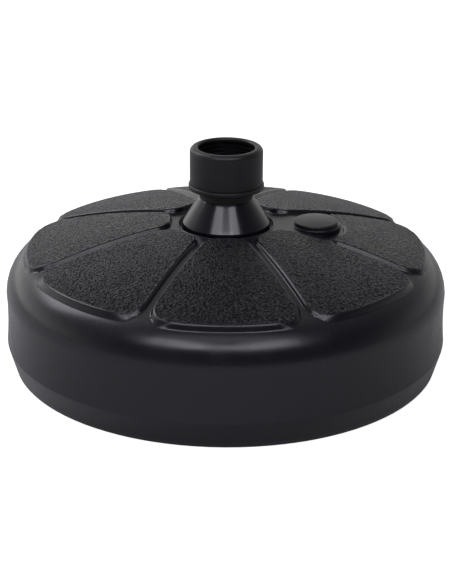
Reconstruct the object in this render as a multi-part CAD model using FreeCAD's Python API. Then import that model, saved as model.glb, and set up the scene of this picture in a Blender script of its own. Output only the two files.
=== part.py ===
import FreeCAD, Part
import math
import os

# Parasol base: a water or sand filled tank with a clamping socket for the pole.
# Millimetres, +Z up, origin on the ground at the centre of the base.

# Tank, outer form
shell_radius = 231.3        # side wall where the shoulder starts
shoulder_height = 80.0
shoulder_round = 41.0
shoulder_bands = 5
dome_round = 640.0
land_radius = 72.0          # level land around the hub, inside the dome
waist_in = 0.6
waist_height = 58.0
crease_out = 1.2            # the wall leans out towards the crease above the foot
crease_height = 22.0
crease_run = 8.0            # height of the bevel that softens the crease
ground_set_in = 7.0         # from the side wall in to the edge of the foot
ground_round = 1.6
foot_width = 18.0
floor_rise = 6.0
floor_slope_run = 5.0
tank_wall = 3.0

# Tank, petals on the dome
petal_count = 8
petal_gap = 7.0
petal_height = 4.6
petal_sink = 2.0            # how deep a petal is rooted in the wall
petal_set_in = 19.3         # from the side wall in to the petals' outer ends
petal_inner_radius = 58.0
petal_outer_corner = 25.0
petal_inner_corner = 20.0
petal_edge_break = 1.6
petal_bay_radius = 58.0     # round bay in one petal, beside the filler cap
petal_bay_offset = 28.7     # the bay's centre lies this far inside the cap's
petal_bay_corner = 6.0

# Tank, hub recess, well and underside pocket
recess_radius = 49.3
recess_depth = 5.5
lip_width = 2.4
lip_rise = 0.8
well_clearance = 0.5
pocket_radius = 47.0
pocket_top = 32.0

# Filler neck and cap
filler_distance = 94.2
boss_radius = 25.5
boss_rise = 3.2             # boss top above the dome at the boss's centre
boss_depth = 10.0
neck_bore = 19.5
neck_wall = 3.5
neck_length = 18.0
seal_thickness = 1.0
seal_inner_gap = 0.5
seal_width = 2.6
cap_radius = 23.0
cap_rim = 2.6
cap_crown = 1.1
cap_edge_round = 1.2
plug_length = 8.0
plug_wall = 2.6
plug_clearance = 0.3
cap_top_wall = 2.4

# Hub cone
cone_foot_gap = 3.3         # open ring between the cone's foot and the recess
cone_rim_height = 7.8
cone_height = 33.6
cone_wall = 2.6
cone_rib_count = 4
cone_rib_width = 2.4
cone_bore_clearance = 0.3

# Pole socket
pole_radius = 19.0          # the pole that the reducers fit
pole_clearance = 0.1
socket_bore = 24.1
tube_wall = 2.6
neck_radius = 27.9
neck_height = 19.3          # from the cone's top to the head
head_radius = 30.1
head_height = 11.9
head_seat_depth = 3.2
head_seat_width = 2.1
slot_count = 6
slot_width = 3.0
slot_length = 17.0
socket_bottom = 10.0

# Clamp collar and its guide ring
ring_radius = 39.3
ring_height = 5.2
ring_edge = 1.2
ring_start = 10.9           # the ring's height above the cone's top
ring_clearance = 0.3
ring_spigot_height = 3.0
ring_spigot_wall = 2.0
collar_radius = 37.9
collar_height = 38.45
collar_opening = 29.4
collar_lip = 4.0
collar_thread_radius = 32.0
collar_top_round = 5.0
collar_mouth_round = 2.2
collar_bands = 2
turning_gap = 0.3

# Reducers, end plug, base nut
reducer_clearance = 0.2
reducer_length = 40.0
reducer_flange_height = 3.0
reducer_slit = 4.0
foot_reducer_length = 30.0
plug_disc_height = 3.0
plug_skirt_height = 4.0
plug_skirt_wall = 2.2
drain_radius = 3.0
washer_thickness = 2.0
washer_radius = 41.0
nut_height = 16.0
nut_radius = 36.0
nut_lug_count = 8
nut_lug_radius = 4.5
nut_thread_clearance = 0.3

# Values that follow
ground_radius = shell_radius - ground_set_in
petal_outer_radius = shell_radius - petal_set_in
tube_radius = socket_bore + tube_wall
shoulder_centre = (shell_radius - shoulder_round, shoulder_height)
dome_tilt = math.asin(shoulder_centre[0] / (dome_round - shoulder_round))
dome_base = shoulder_height - (dome_round - shoulder_round) * math.cos(dome_tilt)
above_petals = dome_base + dome_round + 2 * petal_height


def dome_height(radius, inset=0.0):
    """Height of the dome at a radius, on the surface set in by a wall."""
    return dome_base + math.sqrt((dome_round - inset) ** 2 - radius ** 2)


land_height = dome_height(land_radius)
well_radius = tube_radius + well_clearance
cone_foot_radius = recess_radius - cone_foot_gap
recess_floor = land_height + lip_rise - recess_depth
boss_top = dome_height(filler_distance) + boss_rise
cone_top = recess_floor + cone_height
ring_bottom = cone_top + ring_start
ring_top = ring_bottom + ring_height
collar_bottom = ring_top + turning_gap
head_bottom = cone_top + neck_height
socket_top = head_bottom + head_height
spigot_radius = collar_thread_radius + turning_gap + ring_spigot_wall


def profile_face(start, steps):
    """Closed face in the XZ plane. A step is a point, or a (through, end) pair for an arc."""
    def vector(point):
        return FreeCAD.Vector(point[0], 0, point[1])

    edges = []
    here = start
    for step in list(steps) + [start]:
        if isinstance(step[0], tuple):
            through, end = step
            edges.append(Part.Arc(vector(here), vector(through), vector(end)).toShape())
        else:
            end = step
            if math.dist(here, end) > 1e-6:
                edges.append(Part.LineSegment(vector(here), vector(end)).toShape())
        here = end
    return Part.Face(Part.Wire(edges))


def revolved(start, steps):
    """Solid of revolution about the base's own axis."""
    face = profile_face(start, steps)
    return face.revolve(FreeCAD.Vector(0, 0, 0), FreeCAD.Vector(0, 0, 1), 360)


def on_circle(centre, radius, degrees):
    angle = math.radians(degrees)
    return (centre[0] + radius * math.cos(angle), centre[1] + radius * math.sin(angle))


def bands(centre, radius, start, end, count):
    """Points along a rounding that is built as a few conical bands."""
    step = (end - start) / count
    return [on_circle(centre, radius, start + index * step) for index in range(1, count + 1)]


def cylinder(radius, low, high, x=0.0, y=0.0):
    return Part.makeCylinder(radius, high - low, FreeCAD.Vector(x, y, low))


def turned(shape, degrees):
    copy = shape.copy()
    copy.rotate(FreeCAD.Vector(0, 0, 0), FreeCAD.Vector(0, 0, 1), degrees)
    return copy


def save(shape, node):
    """Write one sub-part as a single clean solid."""
    shape = shape.removeSplitter()
    solids = shape.Solids
    if len(solids) != 1 or not solids[0].isValid():
        raise ValueError(node + " is not one valid solid")
    solids[0].exportStep("parts/" + node + ".step")
    return solids[0]


def dome_arc(inner_radius, inset):
    """Arc of the dome from a radius out to the shoulder, on the surface set in by a wall."""
    radius = dome_round - inset
    end = (radius * math.sin(dome_tilt), dome_base + radius * math.cos(dome_tilt))
    middle = (inner_radius + end[0]) / 2
    return ((middle, dome_height(middle, inset)), end)


def side_steps(inset, count):
    """Shoulder, waisted wall and crease, on the surface set in by a wall."""
    wall = shell_radius - inset
    steps = bands(shoulder_centre, shoulder_round - inset, 90 - math.degrees(dome_tilt), 0, count)
    steps += [
        (wall - waist_in, waist_height),
        (wall + crease_out, crease_height + crease_run / 2),
    ]
    return steps


def tank_outside():
    """The moulded outer form, with the hub recess, the well and the pocket for the nut."""
    foot_inner = ground_radius - foot_width
    crease_radius = shell_radius + crease_out
    lean = math.atan2(crease_radius - ground_radius, crease_height)
    rounding = ground_round * math.tan(math.pi / 4 + lean / 2)
    return revolved((well_radius, recess_floor), [
        (recess_radius, recess_floor),
        (recess_radius, land_height + lip_rise),
        (recess_radius + lip_width / 2, land_height + lip_rise),
        (recess_radius + lip_width, land_height),
        (land_radius, land_height),
        dome_arc(land_radius, 0),
        *side_steps(0, shoulder_bands),
        (crease_radius - crease_run / 2 * math.tan(lean), crease_height - crease_run / 2),
        (ground_radius + rounding * math.sin(lean), rounding * math.cos(lean)),
        (ground_radius - rounding, 0),
        (foot_inner, 0),
        (foot_inner - floor_slope_run, floor_rise),
        (pocket_radius, floor_rise),
        (pocket_radius, pocket_top),
        (well_radius, pocket_top),
    ])


def tank_cavity():
    """The space for water or sand: the outer form set in by the wall."""
    well = well_radius + tank_wall
    recess = recess_radius + tank_wall
    foot_inner = ground_radius - foot_width - tank_wall
    land = dome_height(land_radius, tank_wall)
    return revolved((well, recess_floor - tank_wall), [
        (recess, recess_floor - tank_wall),
        (recess, land),
        (land_radius, land),
        dome_arc(land_radius, tank_wall),
        *side_steps(tank_wall, shoulder_bands // 2),
        (ground_radius - tank_wall, tank_wall),
        (foot_inner, tank_wall),
        (foot_inner - floor_slope_run, floor_rise + tank_wall),
        (pocket_radius + tank_wall, floor_rise + tank_wall),
        (pocket_radius + tank_wall, pocket_top + tank_wall),
        (well, pocket_top + tank_wall),
    ])


def petal_slab():
    """Curved slab that the petals are cut from, concentric with the dome."""
    low, high = -petal_sink, petal_height
    inner = petal_inner_radius - petal_inner_corner
    outer = petal_outer_radius + petal_inner_corner
    middle = (inner + outer) / 2

    def at(radius, level):
        return (radius, dome_height(radius, -level))

    steps = [
        at(inner, high),
        (at(middle, high), at(outer, high)),
        at(outer, low),
        (at(middle, low), at(inner, low)),
    ]
    return turned(revolved(at(inner, low), steps), 180)


def petal_plan():
    """Upright prism with a petal's outline, centred on +X."""
    half = math.radians(180 / petal_count)
    inset = petal_gap / 2

    def corner(radius):
        swing = half - math.asin(inset / radius)
        return radius * math.cos(swing), radius * math.sin(swing)

    inner_x, inner_y = corner(petal_inner_radius)
    outer_x, outer_y = corner(petal_outer_radius)
    points = [
        FreeCAD.Vector(inner_x, -inner_y, 0),
        FreeCAD.Vector(outer_x, -outer_y, 0),
        FreeCAD.Vector(outer_x, outer_y, 0),
        FreeCAD.Vector(inner_x, inner_y, 0),
    ]
    rim = FreeCAD.Vector(petal_outer_radius, 0, 0)
    edges = [
        Part.LineSegment(points[0], points[1]).toShape(),
        Part.Arc(points[1], rim, points[2]).toShape(),
        Part.LineSegment(points[2], points[3]).toShape(),
        Part.LineSegment(points[3], points[0]).toShape(),
    ]
    face = Part.Face(Part.Wire(edges))
    prism = face.extrude(FreeCAD.Vector(0, 0, above_petals))
    prism = round_uprights(prism, outer_x - 1, 2 * outer_x, petal_outer_corner)
    return round_uprights(prism, 0, inner_x + 1, petal_inner_corner)


def round_uprights(prism, low_x, high_x, radius):
    """Round the prism's sharp upright edges that lie between two X values."""
    chosen = []
    for edge in prism.Edges:
        box = edge.BoundBox
        upright = box.XLength < 0.01 and box.YLength < 0.01
        if upright and low_x < box.XMin < high_x:
            chosen.append(edge)
    return prism.makeFillet(radius, chosen)


def petal(plan, slab):
    """One raised petal with its edge broken."""
    block = slab.common(plan)
    top = max(block.Faces, key=lambda face: face.Area if faces_up(face) else 0)
    return block.makeChamfer(petal_edge_break, top.OuterWire.Edges)


def faces_up(face):
    """True for a face that lies above the dome."""
    centre = face.CenterOfMass
    return centre.z > dome_height(math.hypot(centre.x, centre.y))


def bay_plan(plan):
    """The petal outline beside the filler cap, with its inner end cut back to a round bay."""
    centre = filler_distance - petal_bay_offset
    bay = cylinder(petal_bay_radius, 0, above_petals, centre)
    end = Part.makeBox(centre, 2 * centre, above_petals, FreeCAD.Vector(0, -centre, 0))
    cut = plan.cut(bay.fuse(end))
    return round_uprights(cut, centre, centre + petal_bay_radius, petal_bay_corner)


def tank():
    """Blow-moulded tank: shell, petals, filler neck."""
    body = tank_outside().cut(tank_cavity())
    plan, slab = petal_plan(), petal_slab()
    whole = petal(plan, slab)
    pieces = [petal(bay_plan(plan), slab)]
    for index in range(1, petal_count):
        pieces.append(turned(whole, index * 360 / petal_count))
    pieces.append(cylinder(boss_radius, boss_top - boss_depth, boss_top, filler_distance))
    pieces.append(cylinder(neck_bore + neck_wall, boss_top - neck_length, boss_top, filler_distance))
    body = body.multiFuse(pieces)
    bore = cylinder(neck_bore, boss_top - 2 * neck_length, boss_top + neck_length, filler_distance)
    return body.cut(bore)


def at_filler(shape):
    copy = shape.copy()
    copy.translate(FreeCAD.Vector(filler_distance, 0, 0))
    return copy


def filler_seal():
    """Flat ring under the cap's rim."""
    inner = neck_bore + seal_inner_gap
    outer = inner + seal_width
    return at_filler(
        cylinder(outer, boss_top, boss_top + seal_thickness).cut(
            cylinder(inner, boss_top - 1, boss_top + seal_thickness + 1)))


def filler_cap():
    """Crowned screw cap with a hollow plug that goes down the neck."""
    under = boss_top + seal_thickness
    rim_top = under + cap_rim
    plug = neck_bore - plug_clearance
    hollow = plug - plug_wall
    edge = cap_radius - cap_edge_round
    steps = [
        (0, rim_top + cap_crown),
        (edge, rim_top),
        (cap_radius, rim_top - cap_edge_round),
        (cap_radius, under),
        (plug, under),
        (plug, boss_top - plug_length),
        (hollow, boss_top - plug_length),
        (hollow, rim_top - cap_top_wall),
    ]
    return at_filler(revolved((0, rim_top - cap_top_wall), steps))


def hub_cone():
    """Flared cover that seats in the recess and carries the socket's shoulder."""
    bore = tube_radius + cone_bore_clearance
    inner_tube = bore + cone_wall
    rim_top = recess_floor + cone_rim_height
    lean = math.atan2(cone_foot_radius - neck_radius, cone_top - rim_top)
    drop = cone_wall / math.sin(lean)
    inside_foot = cone_foot_radius - cone_wall
    under_skin = rim_top + (cone_foot_radius - inside_foot) / math.tan(lean) - drop
    meet = rim_top + (cone_foot_radius - inner_tube) / math.tan(lean) - drop
    shell = revolved((bore, recess_floor), [
        (bore, cone_top),
        (neck_radius, cone_top),
        (cone_foot_radius, rim_top),
        (cone_foot_radius, recess_floor),
        (inside_foot, recess_floor),
        (inside_foot, under_skin),
        (inner_tube, meet),
        (inner_tube, recess_floor),
    ])
    room = revolved((inner_tube - 0.5, recess_floor), [
        (inner_tube - 0.5, meet),
        (inside_foot + 0.5, under_skin),
        (inside_foot + 0.5, recess_floor),
    ])
    ribs = []
    for index in range(cone_rib_count):
        rib = Part.makeBox(cone_foot_radius, cone_rib_width, cone_height,
                           FreeCAD.Vector(0, -cone_rib_width / 2, recess_floor))
        ribs.append(turned(rib, index * 360 / cone_rib_count).common(room))
    return shell.multiFuse(ribs)


def pole_socket():
    """Tube through the tank, with the shoulder on the cone and the slotted head."""
    seat = socket_bore + head_seat_width
    chamfer = head_seat_width / 2
    solid = revolved((socket_bore, socket_bottom), [
        (tube_radius, socket_bottom),
        (tube_radius, cone_top),
        (neck_radius, cone_top),
        (neck_radius, head_bottom),
        (head_radius, head_bottom + chamfer),
        (head_radius, socket_top - chamfer),
        (head_radius - chamfer, socket_top),
        (seat, socket_top),
        (seat, socket_top - head_seat_depth),
        (socket_bore, socket_top - head_seat_depth),
    ])
    for index in range(slot_count):
        slot = Part.makeBox(2 * head_radius, slot_width, slot_length + 1,
                            FreeCAD.Vector(0, -slot_width / 2, socket_top - slot_length))
        solid = solid.cut(turned(slot, (index + 0.5) * 360 / slot_count))
    return solid


def guide_ring():
    """Ring at the collar's foot: it rides up and down the neck and locates the collar."""
    bore = neck_radius + ring_clearance
    inner = spigot_radius - ring_spigot_wall
    return revolved((bore, ring_bottom), [
        (ring_radius - ring_edge, ring_bottom),
        (ring_radius, ring_bottom + ring_edge),
        (ring_radius, ring_top - ring_edge),
        (ring_radius - ring_edge, ring_top),
        (spigot_radius, ring_top),
        (spigot_radius, ring_top + ring_spigot_height),
        (inner, ring_top + ring_spigot_height),
        (inner, ring_top),
        (bore, ring_top),
    ])


def clamp_collar():
    """Screw collar that closes the slotted head on the pole."""
    top = collar_bottom + collar_height
    counterbore = spigot_radius + turning_gap
    counter_top = ring_top + ring_spigot_height + turning_gap
    lip_bottom = top - collar_lip
    outer_centre = (collar_radius - collar_top_round, top - collar_top_round)
    mouth_centre = (collar_opening + collar_mouth_round, top - collar_mouth_round)
    return revolved((counterbore, collar_bottom), [
        (collar_radius, collar_bottom),
        (collar_radius, top - collar_top_round),
        *bands(outer_centre, collar_top_round, 0, 90, collar_bands),
        (mouth_centre[0], top),
        *bands(mouth_centre, collar_mouth_round, 90, 180, collar_bands),
        (collar_opening, lip_bottom),
        (collar_thread_radius, lip_bottom - (collar_thread_radius - collar_opening)),
        (collar_thread_radius, counter_top),
        (counterbore, counter_top),
    ])


def slit(solid, low, high):
    """Open a sleeve along its length so that it can close on the pole."""
    gap = Part.makeBox(2 * socket_bore, reducer_slit, high - low + 2,
                       FreeCAD.Vector(-2 * socket_bore, -reducer_slit / 2, low - 1))
    return solid.cut(gap)


def head_reducer():
    """Flanged split sleeve in the socket's head, for a thinner pole."""
    bore = pole_radius + pole_clearance
    outer = socket_bore - reducer_clearance
    flange = socket_bore + head_seat_width - reducer_clearance
    seat = socket_top - head_seat_depth
    low = seat + reducer_flange_height - reducer_length
    solid = revolved((bore, low), [
        (outer, low),
        (outer, seat),
        (flange, seat),
        (flange, seat + reducer_flange_height),
        (bore, seat + reducer_flange_height),
    ])
    return slit(solid, low, seat + reducer_flange_height)


def foot_reducer():
    """Split sleeve at the socket's foot that centres the pole's end."""
    bore = pole_radius + pole_clearance
    outer = socket_bore - reducer_clearance
    low = socket_bottom + plug_skirt_height
    high = low + foot_reducer_length
    return slit(cylinder(outer, low, high).cut(cylinder(bore, low - 1, high + 1)), low, high)


def end_plug():
    """Drained plug that closes the socket's lower end."""
    skirt = socket_bore - reducer_clearance
    low = socket_bottom - plug_disc_height
    solid = revolved((drain_radius, low), [
        (tube_radius, low),
        (tube_radius, socket_bottom),
        (skirt, socket_bottom),
        (skirt, socket_bottom + plug_skirt_height),
        (skirt - plug_skirt_wall, socket_bottom + plug_skirt_height),
        (skirt - plug_skirt_wall, socket_bottom),
        (drain_radius, socket_bottom),
    ])
    return solid


def base_washer():
    """Flat washer between the nut and the tank's pocket."""
    low = pocket_top - washer_thickness
    return cylinder(washer_radius, low, pocket_top).cut(
        cylinder(well_radius, low - 1, pocket_top + 1))


def base_nut():
    """Lugged ring nut that pulls the socket down on the cone."""
    high = pocket_top - washer_thickness
    low = high - nut_height
    body = cylinder(nut_radius, low, high)
    for index in range(nut_lug_count):
        x, y = on_circle((0, 0), nut_radius, index * 360 / nut_lug_count)
        body = body.fuse(cylinder(nut_lug_radius, low, high, x, y))
    return body.cut(cylinder(tube_radius + nut_thread_clearance, low - 1, high + 1))


os.makedirs("parts", exist_ok=True)
for make in (tank, filler_seal, filler_cap, hub_cone, pole_socket, guide_ring, clamp_collar,
             head_reducer, foot_reducer, end_plug, base_washer, base_nut):
    solid = save(make(), make.__name__)
    box = solid.BoundBox
    print(f"{make.__name__:14s} volume {solid.Volume / 1000:9.2f} cm3  z {box.ZMin:7.2f} {box.ZMax:7.2f}")
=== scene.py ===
import math
import bpy
import numpy as np
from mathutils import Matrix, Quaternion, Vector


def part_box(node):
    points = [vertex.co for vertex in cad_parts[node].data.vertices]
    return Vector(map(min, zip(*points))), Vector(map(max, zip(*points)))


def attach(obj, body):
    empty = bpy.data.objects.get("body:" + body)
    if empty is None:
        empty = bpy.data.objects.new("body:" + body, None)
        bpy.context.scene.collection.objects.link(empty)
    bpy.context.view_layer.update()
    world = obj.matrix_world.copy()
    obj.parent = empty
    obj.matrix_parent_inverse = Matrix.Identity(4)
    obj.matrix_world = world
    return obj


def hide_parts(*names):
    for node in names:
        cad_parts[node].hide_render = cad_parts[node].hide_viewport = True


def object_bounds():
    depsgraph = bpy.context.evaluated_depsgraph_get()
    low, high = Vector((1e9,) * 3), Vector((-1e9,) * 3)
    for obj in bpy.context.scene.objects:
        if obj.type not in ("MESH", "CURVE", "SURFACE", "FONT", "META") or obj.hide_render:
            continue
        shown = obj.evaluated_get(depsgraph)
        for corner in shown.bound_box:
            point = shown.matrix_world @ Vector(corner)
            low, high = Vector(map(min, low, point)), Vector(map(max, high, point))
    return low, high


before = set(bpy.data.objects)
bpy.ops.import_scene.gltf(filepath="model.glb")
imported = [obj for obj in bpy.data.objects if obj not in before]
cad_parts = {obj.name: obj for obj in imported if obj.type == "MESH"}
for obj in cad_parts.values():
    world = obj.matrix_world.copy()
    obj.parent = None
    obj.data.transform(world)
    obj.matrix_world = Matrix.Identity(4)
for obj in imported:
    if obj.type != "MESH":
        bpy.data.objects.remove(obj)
cad_box = [list(corner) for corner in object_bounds()]

# Tank. Blow-moulded black polyethylene, filled with water or sand through the neck. The wall leans
# out a little to a crease above the foot. Eight petals stand up from the domed top. Their tops
# carry the mould's pebble grain and everything else is smooth satin.
shell_radius = 0.2313
shoulder_height = 0.080
shoulder_round = 0.041
dome_round = 0.640
land_radius = 0.072
waist_in = 0.0006
waist_height = 0.058
crease_out = 0.0012
crease_height = 0.028
crease_round = 0.006
ground_radius = 0.2243
ground_round = 0.0016
foot_width = 0.018
floor_rise = 0.006
floor_slope_run = 0.005
tank_wall = 0.003
recess_radius = 0.0493
recess_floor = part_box("hub_cone")[0].z
lip_width = 0.0024
well_radius = 0.0272
pocket_radius = 0.047
pocket_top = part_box("base_washer")[1].z
petal_count = 8
petal_gap = 0.007
petal_height = 0.0041
petal_outer_radius = 0.2114
petal_inner_radius = 0.0612
petal_outer_corner = 0.025
petal_inner_corner = 0.020
crown_round = 0.0026
hollow_round = 0.0014
flank_lean = math.radians(60)
flank_in = 0.0029
bay_radius = 0.058
bay_offset = 0.0287
bay_corner = 0.006
cap_low, cap_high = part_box("filler_cap")
filler_distance = (cap_low.x + cap_high.x) / 2
boss_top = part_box("filler_seal")[0].z
boss_radius = 0.0255
boss_round = 0.0012
neck_bore = 0.0195
neck_wall = 0.0035
neck_length = 0.018

half_petal = math.pi / petal_count
shoulder_centre = (shell_radius - shoulder_round, shoulder_height)
dome_tilt = math.asin(shoulder_centre[0] / (dome_round - shoulder_round))
dome_base = shoulder_height - (dome_round - shoulder_round) * math.cos(dome_tilt)
dome_end = dome_round * math.sin(dome_tilt)


def dome_height(radius, inset=0.0):
    """Height of the dome: a sphere about the axis, set in by a wall and level inside the land."""
    radius = np.maximum(radius, land_radius)
    return dome_base + np.sqrt((dome_round - inset) ** 2 - radius ** 2)


def arc_points(centre, radius, start, end, count):
    """Points along a circular arc in the (radius, height) plane, angles in degrees."""
    angle = np.radians(np.linspace(start, end, count))
    return np.column_stack([centre[0] + radius * np.cos(angle), centre[1] + radius * np.sin(angle)])


def rounded_path(corners, count=6):
    """A closed path through corners (r, z, rounding): each corner is its tangent arc.

    The arc's centre lies on the corner's bisector, at rounding / sin(half angle).
    """
    corners = np.array(corners, float)
    place, rounding = corners[:, :2], corners[:, 2]
    path = []
    for index, here in enumerate(place):
        back = place[index - 1] - here
        ahead = place[(index + 1) % len(place)] - here
        back, ahead = back / np.linalg.norm(back), ahead / np.linalg.norm(ahead)
        half = math.acos(np.clip(back @ ahead, -1, 1)) / 2
        if rounding[index] == 0 or half > math.radians(89):
            path.append(here[None])
            continue
        reach = rounding[index] / math.tan(half)
        bisector = (back + ahead) / np.linalg.norm(back + ahead)
        centre = here + bisector * rounding[index] / math.sin(half)
        first, last = here + back * reach - centre, here + ahead * reach - centre
        turn = math.pi - 2 * half
        share = np.linspace(0, 1, count)[:, None]
        swing = np.sin((1 - share) * turn) * first + np.sin(share * turn) * last
        path.append(centre + swing / math.sin(turn))
    return np.vstack(path)


def resampled(path, step):
    """Adds points to a path's long straight runs, no further apart than the step."""
    pieces = []
    for here, ahead in zip(path, np.vstack([path[1:], path[:1]])):
        count = max(1, int(np.linalg.norm(ahead - here) / step))
        pieces.append(here + (ahead - here) * np.arange(count)[:, None] / count)
    return np.vstack(pieces)


def lathe(path, segments, centre=(0.0, 0.0)):
    """Surface of revolution: (r cos a, r sin a, z) for each profile point and angle a."""
    angle = np.arange(segments) * 2 * math.pi / segments
    r, z = path[:, :1], path[:, 1:]
    x = centre[0] + r * np.cos(angle)
    y = centre[1] + r * np.sin(angle)
    return np.stack([x, y, np.broadcast_to(z, x.shape)], axis=-1)


def grid_faces(rows, columns, close_columns=True):
    """Quads of a grid of points whose rows wrap round, and whose columns do if they are closed."""
    row = np.arange(rows)[:, None]
    column = np.arange(columns if close_columns else columns - 1)[None]
    next_row, next_column = (row + 1) % rows, (column + 1) % columns
    quads = [row * columns + column, row * columns + next_column,
             next_row * columns + next_column, next_row * columns + column]
    shape = (row.size, column.size)
    return np.stack([np.broadcast_to(quad, shape) for quad in quads], -1).reshape(-1, 4)


def make_piece(name, points, faces, sharp=35):
    """A mesh piece from arrays of points and faces, smooth but for edges sharper than an angle."""
    mesh = bpy.data.meshes.new(name)
    mesh.from_pydata(points.tolist(), [], faces.tolist())
    mesh.validate()
    mesh.shade_smooth()
    mesh.set_sharp_from_angle(angle=math.radians(sharp))
    piece = bpy.data.objects.new(name, mesh)
    bpy.context.scene.collection.objects.link(piece)
    return piece


def lathed_piece(name, path, segments=160, centre=(0.0, 0.0), sharp=35):
    """A turned piece from a closed profile that runs anticlockwise in the (radius, height) plane."""
    points = lathe(path, segments, centre)
    faces = grid_faces(*points.shape[:2])
    return make_piece(name, points.reshape(-1, 3), faces, sharp)


def tank_profile():
    """The tank's whole outer skin as one closed profile, from the well out and round underneath."""
    land = float(dome_height(land_radius))
    lip_end = recess_radius + lip_width
    recess = np.array([[well_radius, recess_floor], [0.040, recess_floor], [recess_radius, recess_floor],
                       [recess_radius, land]])
    lip = arc_points((recess_radius + lip_width / 2, land - 0.0004), lip_width / 2, 180, 20, 7)
    across = np.concatenate([
        [lip_end, 0.0540, 0.0562], np.arange(0.0575, 0.0670, 0.0005), np.arange(0.0680, 0.0900, 0.0018),
        np.arange(0.0910, 0.1260, 0.0009), np.arange(0.1285, 0.1860, 0.0026),
        np.arange(0.1870, dome_end, 0.0018)])
    dome = np.column_stack([across, dome_height(across)])
    outer = np.concatenate([
        np.arange(0.1990, 0.2076, 0.0012), np.arange(0.2081, 0.2104, 0.0004), [0.2107, 0.2112, 0.2116],
        np.arange(0.2120, 0.2138, 0.0003)])
    start = math.acos((outer[-1] - shoulder_centre[0]) / shoulder_round)
    ledge = np.column_stack([outer, shoulder_height + np.sqrt(
        shoulder_round ** 2 - (outer - shoulder_centre[0]) ** 2)])
    turned = arc_points(shoulder_centre, shoulder_round, math.degrees(start), 0, 20)
    shoulder = np.vstack([ledge, turned[1:]])
    ends = np.array([[shell_radius, shoulder_height], [shell_radius - waist_in, waist_height],
                     [shell_radius + crease_out, crease_height]])
    bow = np.polyfit(ends[:, 1], ends[:, 0], 2)
    down = np.linspace(shoulder_height, crease_height, 15)[1:]
    wall = np.column_stack([np.polyval(bow, down), down])
    lean = math.atan2(shell_radius + crease_out - ground_radius, crease_height)
    wall_lean = math.atan(np.polyval(np.polyder(bow), crease_height))
    turn = lean + wall_lean
    reach = crease_round * math.tan(turn / 2) * 2.2
    crease = np.array([shell_radius + crease_out, crease_height])
    before = np.array([np.polyval(bow, crease_height + reach), crease_height + reach])
    after = crease - reach * np.array([math.sin(lean), math.cos(lean)])
    share = np.linspace(0, 1, 9)[:, None]
    bend = (1 - share) ** 2 * before + 2 * share * (1 - share) * crease + share ** 2 * after
    wall = wall[wall[:, 1] > crease_height + reach]
    taper_end = np.array([ground_radius + 0.4 * ground_round, ground_round])
    taper = after + (taper_end - after) * np.linspace(0, 1, 5)[1:, None]
    foot_inner = ground_radius - foot_width
    toe = np.array([[ground_radius - 0.1 * ground_round, 0.35 * ground_round],
                    [ground_radius - 0.9 * ground_round, 0]])
    floor = np.array([[foot_inner, 0], [foot_inner - floor_slope_run, floor_rise],
                      [0.150, floor_rise], [0.100, floor_rise], [pocket_radius, floor_rise],
                      [pocket_radius, pocket_top], [well_radius, pocket_top], [well_radius, 0.085]])
    return np.vstack([recess, lip, dome, shoulder, wall, bend, taper, toe, floor])


def column_angles(radius):
    """Angles of the grid's columns at each radius, close together along the petals' edges.

    Near a gap a column keeps a constant distance from the gap's centre line, and the rest share
    what is left, so the angle is asin(distance / radius).
    """
    near = np.array([0, 0.9, 1.67, 2.0, 2.3, 2.6, 2.88, 3.3, 3.72, 4.15, 4.5, 4.85, 5.2, 5.6, 6.0, 6.4,
                     7.1, 7.9, 8.8, 9.8, 11.0, 12.6, 15.0, 18.4]) / 1000
    middle = radius[:, None] * math.sin(half_petal)
    near = near * np.clip(middle / 0.026, 0, 1)
    rest = near[:, -1:] + (middle - near[:, -1:]) * np.linspace(0, 1, 6)[1:]
    distance = np.hstack([near, rest])
    half = np.arcsin(np.clip(distance / radius[:, None], 0, 1))
    half = half / half[:, -1:] * half_petal
    petal = np.hstack([half - half_petal, half_petal - half[:, -2:0:-1]])
    return np.hstack([petal + turn * 2 * half_petal for turn in range(petal_count)])


def corner_zone(x, y, centre, away_one, away_two):
    """True where a point lies in the corner beyond both tangent points of its round."""
    dx, dy = x - centre[0], y - centre[1]
    return (dx * away_one[0] + dy * away_one[1] < 0) & (dx * away_two[0] + dy * away_two[1] < 0)


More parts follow.
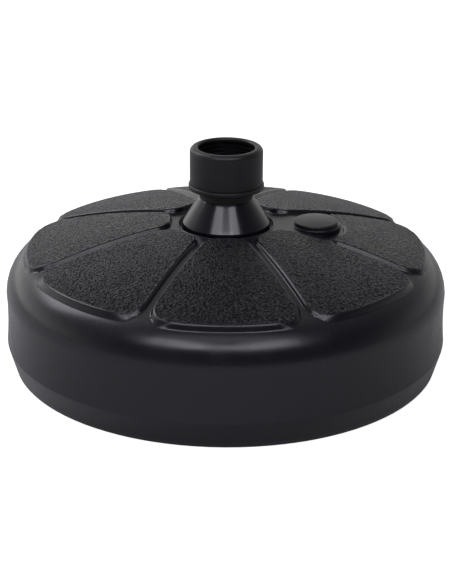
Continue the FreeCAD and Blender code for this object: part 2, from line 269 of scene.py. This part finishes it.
def petal_depth(radius, angle):
    """How far a point of the dome lies inside its petal's outline, and below 0 outside it.

    It is the least of the distances to the two sides, the outer arc and the inner end, with each
    corner replaced by the distance to its round.
    """
    place = (angle + half_petal) % (2 * half_petal) - half_petal
    first = np.abs((angle + math.pi) % (2 * math.pi) - math.pi) < half_petal
    x, y = radius * np.cos(place), np.abs(radius * np.sin(place))
    side = x * math.sin(half_petal) - y * math.cos(half_petal) - petal_gap / 2
    rim = petal_outer_radius - radius
    along = (math.cos(half_petal), math.sin(half_petal))
    inner_x = petal_inner_radius * math.cos(half_petal - math.asin(petal_gap / 2 / petal_inner_radius))
    depth = np.minimum(side, rim)
    near_corner = (side < petal_outer_corner) & (rim < petal_outer_corner)
    depth = np.where(near_corner, petal_outer_corner - np.hypot(petal_outer_corner - side,
                                                                petal_outer_corner - rim), depth)
    end = x - inner_x
    centre_x = inner_x + petal_inner_corner
    centre_y = (centre_x * along[1] - petal_gap / 2 - petal_inner_corner) / along[0]
    zone = corner_zone(x, y, (centre_x, centre_y), along, (0, -1))
    whole = np.minimum(depth, end)
    whole = np.where(zone, petal_inner_corner - np.hypot(x - centre_x, y - centre_y), whole)
    bay_x = filler_distance - bay_offset
    bay = np.hypot(x - bay_x, y) - bay_radius
    offset = petal_gap / 2 + bay_corner
    start = np.array([offset * along[1] - bay_x, -offset * along[0]])
    run = -start @ np.array(along) + math.sqrt((start @ np.array(along)) ** 2
                                               - start @ start + (bay_radius + bay_corner) ** 2)
    centre = start + run * np.array(along) + np.array([bay_x, 0])
    radial = np.array([centre[0] - bay_x, centre[1]]) / (bay_radius + bay_corner)
    zone = corner_zone(x, y, centre, along, (radial[1], -radial[0]))
    cut = np.minimum(depth, np.where(x < bay_x, -1.0, bay))
    cut = np.where(zone & (x > bay_x), bay_corner - np.hypot(x - centre[0], y - centre[1]), cut)
    return np.where(first, cut, whole)


def flank(depth):
    """Share of the petal's height: a hollow arc, a steep straight and a crowning arc, all tangent."""
    lean, fall = math.sin(flank_lean), 1 - math.cos(flank_lean)
    straight = (petal_height - (hollow_round + crown_round) * fall) / math.tan(flank_lean)
    whole = hollow_round * lean + straight + crown_round * lean
    run = np.clip(depth + whole - flank_in, 0, whole)
    low = hollow_round - np.sqrt(hollow_round ** 2 - np.clip(run, 0, hollow_round * lean) ** 2)
    back = np.clip(whole - run, 0, crown_round * lean)
    high = petal_height - crown_round + np.sqrt(crown_round ** 2 - back ** 2)
    middle = hollow_round * fall + (run - hollow_round * lean) * math.tan(flank_lean)
    rise = np.where(run < hollow_round * lean, low, np.where(back < crown_round * lean, high, middle))
    return rise / petal_height


def tank_piece():
    """The closed skin with petals raised on the dome, the cavity, and the filler neck."""
    profile = tank_profile()
    radius = profile[:, 0]
    angle = column_angles(radius)
    r = np.broadcast_to(radius[:, None], angle.shape)
    on_top = (profile[:, 1] > shoulder_height) & (radius > recess_radius + lip_width - 1e-6)
    depth = np.where(on_top[:, None], petal_depth(r, angle), -1.0)
    share = flank(depth)
    top = dome_base + np.sqrt((dome_round + petal_height) ** 2 - r ** 2)
    z = profile[:, 1:] + (top - profile[:, 1:]) * share
    skin = np.stack([r * np.cos(angle), r * np.sin(angle), z], -1)
    grain = np.clip((depth - flank_in * 0.85) / 0.0012, 0, 1)
    faces = grid_faces(*angle.shape)
    reach = np.hypot(skin[..., 0] - filler_distance, skin[..., 1]).ravel()
    near_top = np.broadcast_to(on_top[:, None], angle.shape).ravel()
    faces = faces[~np.all((reach[faces] < neck_bore + neck_wall + 0.001) & near_top[faces], axis=1)]
    points = [skin.reshape(-1, 3)]
    grains = [grain.ravel()]

    inner = cavity_path()
    shell = lathe(inner, 160)
    shell_faces = grid_faces(*shell.shape[:2])[:, ::-1]
    flat = shell.reshape(-1, 3)
    reach = np.hypot(flat[:, 0] - filler_distance, flat[:, 1])
    ceiling = flat[:, 2] > shoulder_height
    shell_faces = shell_faces[~np.all((reach[shell_faces] < neck_bore + 0.7 * neck_wall)
                                      & ceiling[shell_faces], axis=1)]
    points.append(flat)
    grains.append(np.zeros(len(flat)))
    neck = lathe(neck_path(), 120, (filler_distance, 0))
    neck_faces = grid_faces(*neck.shape[:2])
    points.append(neck.reshape(-1, 3))
    grains.append(np.zeros(neck.shape[0] * neck.shape[1]))
    first = len(points[0])
    faces = np.vstack([faces, shell_faces + first, neck_faces + first + len(flat)])
    piece = make_piece("tank_shell", np.vstack(points), faces)
    attribute = piece.data.attributes.new("grain", "FLOAT", "POINT")
    attribute.data.foreach_set("value", np.concatenate(grains).astype(np.float32))
    return piece


def cavity_path():
    """Profile of the space inside, the outer skin set in by the wall."""
    recess = recess_radius + tank_wall
    well = well_radius + tank_wall
    across = np.linspace(recess, (dome_round - tank_wall) * math.sin(dome_tilt), 40)
    dome = np.column_stack([across, dome_height(across, tank_wall)])
    start = 88 - math.degrees(dome_tilt)
    shoulder = arc_points(shoulder_centre, shoulder_round - tank_wall, start, 0, 10)
    foot = ground_radius - foot_width - tank_wall
    rest = np.array([
        [shell_radius - waist_in - tank_wall, waist_height],
        [shell_radius + crease_out - tank_wall, crease_height],
        [ground_radius - tank_wall, tank_wall],
        [foot, tank_wall],
        [foot - floor_slope_run, floor_rise + tank_wall],
        [pocket_radius + tank_wall, floor_rise + tank_wall],
        [pocket_radius + tank_wall, pocket_top + tank_wall],
        [well, pocket_top + tank_wall],
        [well, recess_floor - tank_wall],
        [recess, recess_floor - tank_wall]])
    return np.vstack([dome, shoulder, rest])


def neck_path():
    """Profile of the filler boss above the skin and the neck below it."""
    outer = neck_bore + neck_wall
    low = boss_top - neck_length
    foot = boss_top - 0.010
    return rounded_path([
        (neck_bore, low, 0), (outer, low, 0), (outer, foot, 0), (boss_radius, foot, 0),
        (boss_radius, boss_top, boss_round), (neck_bore, boss_top, 0.0006)])


def plastic(name, colour, roughness, peel=0.00002, peel_size=0.004, grained=False):
    """Moulded plastic: a near-black body colour with a slight mottle, a satin skin that varies a
    little, and the mould's fine waviness; on grained parts, a pebble grain where the part's
    grain attribute is 1, with painted shade in the pebbles' hollows, whose reflection is turned down.
    """
    material = bpy.data.materials.new(name)
    material.use_nodes = True
    nodes, links = material.node_tree.nodes, material.node_tree.links
    shader = nodes["Principled BSDF"]
    shader.inputs["IOR"].default_value = 1.5
    place = nodes.new("ShaderNodeTexCoord").outputs["Object"]

    def noise(scale, detail=2.0, rough=0.5):
        node = nodes.new("ShaderNodeTexNoise")
        node.inputs["Scale"].default_value = scale
        node.inputs["Detail"].default_value = detail
        node.inputs["Roughness"].default_value = rough
        links.new(place, node.inputs["Vector"])
        return node.outputs["Fac"]

    def spread(source, low, high, from_low=0.3, from_high=0.7):
        node = nodes.new("ShaderNodeMapRange")
        node.inputs["From Min"].default_value = from_low
        node.inputs["From Max"].default_value = from_high
        node.inputs["To Min"].default_value = low
        node.inputs["To Max"].default_value = high
        links.new(source, node.inputs["Value"])
        return node.outputs["Result"]

    def maths(kind, one, two):
        node = nodes.new("ShaderNodeMath")
        node.operation = kind
        for socket, value in zip(node.inputs, (one, two)):
            if isinstance(value, (int, float)):
                socket.default_value = value
            else:
                links.new(value, socket)
        return node.outputs[0]

    def bump(height, distance, below=None):
        node = nodes.new("ShaderNodeBump")
        node.inputs["Strength"].default_value = 1.0
        node.inputs["Distance"].default_value = distance
        links.new(height, node.inputs["Height"])
        if below is not None:
            links.new(below, node.inputs["Normal"])
        return node.outputs["Normal"]

    mottle = nodes.new("ShaderNodeMix")
    mottle.data_type = "RGBA"
    links.new(noise(18, 4), mottle.inputs["Factor"])
    mottle.inputs["A"].default_value = (*[0.82 * c for c in colour], 1)
    mottle.inputs["B"].default_value = (*[1.18 * c for c in colour], 1)
    links.new(mottle.outputs["Result"], shader.inputs["Base Color"])
    skin = maths("ADD", spread(noise(35, 3), -0.03, 0.03), spread(noise(9, 2), -0.02, 0.02))
    skin = maths("ADD", skin, roughness)
    normal = bump(noise(1 / peel_size, 2), peel)
    if grained:
        mask = nodes.new("ShaderNodeAttribute")
        mask.attribute_name = "grain"
        mask = mask.outputs["Fac"]
        pebbles = nodes.new("ShaderNodeTexVoronoi")
        pebbles.feature = "SMOOTH_F1"
        pebbles.inputs["Scale"].default_value = 560
        pebbles.inputs["Smoothness"].default_value = 0.6
        links.new(place, pebbles.inputs["Vector"])
        height = maths("ADD", spread(pebbles.outputs["Distance"], 1.0, 0.0, 0.05, 0.65),
                       spread(noise(420, 2, 0.5), -0.8, 0.8))
        normal = bump(maths("MULTIPLY", height, mask), 0.0014, normal)
        skin = maths("ADD", skin, maths("MULTIPLY", mask, 0.05))
        # Painted shade: the grain's hollows reflect less than its tops, and this also dims the grained
        # tops as a whole.
        pit_shade = maths("SUBTRACT", 1.0, spread(height, 0.90, -0.20, -0.2, 1.1))
        shaded_gloss = maths("MULTIPLY", 0.5, maths("POWER", pit_shade, mask))
        links.new(shaded_gloss, shader.inputs["Specular IOR Level"])
    links.new(skin, shader.inputs["Roughness"])
    links.new(normal, shader.inputs["Normal"])
    return material


tank_shell = tank_piece()
tank_plastic = plastic("Black polyethylene", (0.0058, 0.0050, 0.0092), 0.26, grained=True)
tank_shell.data.materials.append(tank_plastic)
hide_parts("tank")
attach(tank_shell, "base")

# Hub cone. A smooth flared cover, injection-moulded and glossier than the tank. It stands in the
# recess on a short upright rim and carries the socket's shoulder.
cone_low, cone_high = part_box("hub_cone")
neck_radius = 0.0279
cone_foot_radius = 0.0460
cone_rim_top = cone_low.z + 0.0078
cone_bore = 0.0270
cone_skin = 0.0026
cone_top = cone_high.z + 0.0008
cone_path = rounded_path([
    (cone_bore, cone_low.z, 0), (cone_bore + cone_skin, cone_low.z, 0),
    (cone_bore + cone_skin, cone_high.z - 0.012, 0),
    (cone_foot_radius - cone_skin, cone_rim_top - 0.0006, 0),
    (cone_foot_radius - cone_skin, cone_low.z, 0),
    (cone_foot_radius, cone_low.z, 0), (cone_foot_radius, cone_rim_top, 0.0012),
    (neck_radius, cone_top, 0.0003), (cone_bore, cone_top, 0)])
hub_cone = lathed_piece("hub_cone_cover", resampled(cone_path, 0.004))
cone_plastic = plastic("Gloss black cone", (0.0064, 0.0056, 0.0096), 0.20, 0.00001, 0.006)
hub_cone.data.materials.append(cone_plastic)
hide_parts("hub_cone")
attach(hub_cone, "base")

# Pole socket. Matt plastic tube: a plain neck above the cone, then a wider slotted head with a
# screw thread for the collar. The slots let its fingers close on the pole.
socket_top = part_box("pole_socket")[1].z
ring_low, ring_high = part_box("guide_ring")
head_radius = 0.0301
socket_plastic = plastic("Matt black socket", (0.0065, 0.0063, 0.0072), 0.48)
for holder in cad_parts["pole_socket"].material_slots:
    holder.material = socket_plastic

# Guide ring. The narrow ring at the collar's foot. It slides on the neck and the collar turns on it.
ring_outer = (ring_high.x - ring_low.x) / 2
ring_bore = neck_radius + 0.0003
ring_top = ring_low.z + 0.0052
spigot_outer = 0.0343
spigot_inner = 0.0323
ring_path = rounded_path([
    (ring_bore, ring_low.z, 0), (ring_outer, ring_low.z, 0.0012), (ring_outer, ring_top, 0.0014),
    (spigot_outer, ring_top, 0), (spigot_outer, ring_high.z, 0), (spigot_inner, ring_high.z, 0),
    (spigot_inner, ring_top, 0), (ring_bore, ring_top, 0)])
ring = lathed_piece("collar_guide_ring", ring_path)
collar_plastic = plastic("Matt black collar", (0.0034, 0.0032, 0.0044), 0.42)
ring.data.materials.append(collar_plastic)
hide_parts("guide_ring")
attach(ring, "ring")

# Clamp collar. A heavy screw ring with a rounded top edge. The thread inside its mouth is cut off
# at two plain bands, where the mould's core draws out.
collar_low, collar_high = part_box("clamp_collar")
collar_outer = (collar_high.x - collar_low.x) / 2
collar_opening = 0.0294
collar_lip = 0.004
thread_root = 0.0320
thread_crest = 0.0305
thread_pitch = 0.004
counterbore = 0.0346
counter_top = ring_high.z + 0.0003
collar_path = rounded_path([
    (counterbore, collar_low.z, 0), (collar_outer, collar_low.z, 0.0004),
    (collar_outer, collar_high.z, 0.005), (collar_opening, collar_high.z, 0.0022),
    (collar_opening, collar_high.z - collar_lip, 0.0003),
    (thread_root, collar_high.z - collar_lip - 0.0026, 0.0003), (thread_root, counter_top, 0),
    (counterbore, counter_top, 0)], 8)
collar = lathed_piece("clamp_collar_shell", resampled(collar_path, 0.004), 192)
collar.data.materials.append(collar_plastic)
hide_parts("clamp_collar")
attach(collar, "collar")


def smooth_step(value):
    """0 up to 0, 1 from 1, and 3t^2 - 2t^3 between."""
    value = np.clip(value, 0, 1)
    return value * value * (3 - 2 * value)


def thread_ridge(name, root, crest, start_z, turns, pitch, plain_count, plain_middle, plain_half):
    """A screw thread's ridge: a trapezium carried along z = start + pitch * angle / (2 pi), sunk to
    the root across evenly spaced plain bands.
    """
    steps = int(120 * turns)
    angle = np.linspace(0, turns * 2 * math.pi, steps + 1)
    period = 2 * math.pi / plain_count
    off = np.abs((angle - plain_middle + period / 2) % period - period / 2)
    ends = np.minimum(angle, angle[-1] - angle)
    share = smooth_step((off - plain_half) / 0.08) * smooth_step(ends / 0.25)
    low = root + math.copysign(0.0006, root - crest)
    high = low + (crest - low) * share
    r = np.stack([np.full_like(angle, low), high, high, np.full_like(angle, low)])
    offset = np.array([-1.2, -0.42, 0.42, 1.2])[:, None] / 1000
    z = start_z + pitch * angle / (2 * math.pi) + offset
    points = np.stack([r * np.cos(angle), r * np.sin(angle), z], -1)
    faces = grid_faces(4, steps + 1, False)
    ends = np.array([[0, 1, 2, 3], [3, 2, 1, 0]]) * (steps + 1) + np.array([[0], [steps]])
    faces = np.vstack([faces, ends])
    if crest < root:
        faces = faces[:, ::-1]
    return make_piece(name, points.reshape(-1, 3), faces, 30)


thread_start = counter_top + 0.0014
collar_turns = (collar_high.z - collar_lip - 0.0040 - thread_start) / thread_pitch
collar_thread = thread_ridge("collar_thread", thread_root, thread_crest, thread_start, collar_turns,
                             thread_pitch, 2, math.radians(82), math.radians(12))
collar_thread.data.materials.append(collar_plastic)
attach(collar_thread, "collar")

# Head thread. The socket's own ridge, half a pitch off the collar's so that the two mesh, and
# broken at each slot.
head_start = thread_start + thread_pitch / 2
head_turns = (socket_top - 0.0014 - head_start) / thread_pitch
head_thread = thread_ridge("head_thread", head_radius, head_radius + 0.0014, head_start, head_turns,
                           thread_pitch, 6, math.radians(30), math.radians(4))
head_thread.data.materials.append(socket_plastic)
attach(head_thread, "base")

# Reducers, plug, nut and washer. Plain moulded pieces inside the socket and under the tank.
reducer_plastic = plastic("Matt black reducer", (0.0080, 0.0078, 0.0085), 0.46)
seal_rubber = plastic("Black rubber", (0.0060, 0.0060, 0.0064), 0.62, 0.00003, 0.002)
for node, material in (("head_reducer", reducer_plastic), ("foot_reducer", reducer_plastic),
                       ("end_plug", reducer_plastic), ("base_nut", socket_plastic),
                       ("base_washer", seal_rubber), ("filler_seal", seal_rubber)):
    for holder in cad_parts[node].material_slots:
        holder.material = material

# Filler cap. A low crowned screw cap with a hollow plug that goes down the neck.
cap_radius = (cap_high.x - cap_low.x) / 2
cap_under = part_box("filler_seal")[1].z
cap_rim_top = cap_under + 0.0026
plug_radius = 0.0192
plug_hollow = 0.0166
cap_edge = 0.0012
cap_wall = 0.0024
cap_middle = 0.0002
share = np.linspace(0, 1, 14)[1:]
crown = np.column_stack([share * (cap_radius - cap_edge),
                         cap_rim_top + (cap_high.z - cap_rim_top) * (1 - share ** 2)])
rim = arc_points((cap_radius - cap_edge, cap_rim_top - cap_edge), cap_edge, 80, 0, 7)
cap_rest = np.array([[cap_radius, cap_under], [plug_radius, cap_under], [plug_radius, cap_low.z],
                     [plug_hollow, cap_low.z], [plug_hollow, cap_rim_top - cap_wall],
                     [cap_middle, cap_rim_top - cap_wall]])
cap_path = np.vstack([[[cap_middle, cap_high.z]], crown, rim, cap_rest])
cap = lathed_piece("filler_cap_crown", cap_path[::-1], 144, (filler_distance, 0))
cap.data.materials.append(plastic("Satin black cap", (0.0080, 0.0078, 0.0090), 0.34))
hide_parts("filler_cap")
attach(cap, "cap")

# Studio: a pale floor, soft lamps in front, above and behind on the left, and a pale room about
# them that is brighter behind the base and to its left.
centre_height = (cad_box[0][2] + cad_box[1][2]) / 2
mesh = bpy.data.meshes.new("studio_floor")
edge = 4.0
corners = [(-edge, -edge, 0), (edge, -edge, 0), (edge, edge, 0), (-edge, edge, 0)]
mesh.from_pydata(corners, [], [(0, 1, 2, 3)])
floor = bpy.data.objects.new("studio_floor", mesh)
floor.location.z = cad_box[0][2] - 0.0002
bpy.context.scene.collection.objects.link(floor)


def camera_sees(nodes, links, others, seen, output):
    """Shows one shader to the camera's own rays and another to all other rays."""
    rays = nodes.new("ShaderNodeLightPath")
    pick = nodes.new("ShaderNodeMixShader")
    links.new(rays.outputs["Is Camera Ray"], pick.inputs[0])
    links.new(others.outputs[0], pick.inputs[1])
    links.new(seen.outputs[0], pick.inputs[2])
    links.new(pick.outputs[0], output.inputs["Surface"])


pale = bpy.data.materials.new("Pale floor")
pale.use_nodes = True
nodes, links = pale.node_tree.nodes, pale.node_tree.links
shader = nodes["Principled BSDF"]
shader.inputs["Base Color"].default_value = (0.68, 0.68, 0.68, 1)
shader.inputs["Roughness"].default_value = 0.9
glow = nodes.new("ShaderNodeEmission")
glow.inputs["Strength"].default_value = 0.86
both = nodes.new("ShaderNodeAddShader")
links.new(shader.outputs[0], both.inputs[0])
links.new(glow.outputs[0], both.inputs[1])
camera_sees(nodes, links, shader, both, nodes["Material Output"])
mesh.materials.append(pale)


def soft_lamp(name, azimuth, elevation, distance, width, height, power):
    """A rectangular soft lamp aimed at the base; azimuth 0 is the front, to the right positive."""
    a, e = math.radians(azimuth), math.radians(elevation)
    away = np.array([math.sin(a) * math.cos(e), -math.cos(a) * math.cos(e), math.sin(e)])
    lamp = bpy.data.lights.new(name, "AREA")
    lamp.shape = "RECTANGLE"
    lamp.size, lamp.size_y = width, height
    lamp.energy = power
    lamp.color = (0.98, 0.96, 1.06)
    item = bpy.data.objects.new(name, lamp)
    item.location = away * distance + np.array([0, 0, centre_height])
    item.rotation_euler = (math.radians(90) - e, 0, a)
    bpy.context.scene.collection.objects.link(item)


soft_lamp("front_left_lamp", -31, 46, 2.2, 0.85, 0.70, 6.8)
soft_lamp("front_right_lamp", 28, 46, 2.2, 0.75, 0.70, 6.0)
soft_lamp("front_lamp", 0, 43.8, 2.2, 1.1, 0.36, 5.0)
soft_lamp("top_lamp", 0, 66, 2.2, 1.9, 0.7, 3.6)
soft_lamp("back_left_lamp", -122, 42, 2.2, 1.1, 1.1, 12.5)

world = bpy.data.worlds.new("Studio")
bpy.context.scene.world = world
world.use_nodes = True
nodes, links = world.node_tree.nodes, world.node_tree.links
sky = nodes["Background"]
sky.inputs["Color"].default_value = (1, 1, 1, 1)
direction = nodes.new("ShaderNodeTexCoord").outputs["Generated"]
axes = nodes.new("ShaderNodeSeparateXYZ")
links.new(direction, axes.inputs[0])


def fade(axis, start, end, low, high):
    """A smooth change of the room's light between two values along one direction."""
    node = nodes.new("ShaderNodeMapRange")
    node.interpolation_type = "SMOOTHSTEP"
    for socket, value in (("From Min", start), ("From Max", end), ("To Min", low), ("To Max", high)):
        node.inputs[socket].default_value = value
    links.new(axes.outputs[axis], node.inputs["Value"])
    return node.outputs["Result"]


def times(one, two):
    """The product of two values."""
    node = nodes.new("ShaderNodeMath")
    node.operation = "MULTIPLY"
    links.new(one, node.inputs[0])
    links.new(two, node.inputs[1])
    return node.outputs[0]


room = times(fade("Y", -0.65, 0.85, 0.15, 1.0), fade("X", -1.0, 1.0, 1.12, 0.46))
room = times(room, fade("Z", 0.05, 0.50, 1.25, 0.55))
links.new(room, sky.inputs["Strength"])
white = nodes.new("ShaderNodeBackground")
white.inputs["Color"].default_value = (1, 1, 1, 1)
camera_sees(nodes, links, sky, white, nodes["World Output"])

# Camera: level with a standing viewer's eye 1.7 m away, looking down 22 degrees.
view_distance = 1.600
view_height = 0.7147
view_pitch = 21.96
view_roll = 0.31
lens = 99.74
camera = bpy.data.objects.new("camera", bpy.data.cameras.new("camera"))
camera.data.lens = lens
camera.data.sensor_width = 36
camera.data.shift_x = 0.0005
camera.data.shift_y = 0.0009
camera.location = (0, -view_distance, view_height)
camera.rotation_mode = "QUATERNION"
aim = Quaternion((1, 0, 0), math.radians(90 - view_pitch))
camera.rotation_quaternion = aim @ Quaternion((0, 0, 1), math.radians(view_roll))
bpy.context.scene.collection.objects.link(camera)
bpy.context.scene.camera = camera
bpy.context.scene.view_settings.view_transform = "Standard"
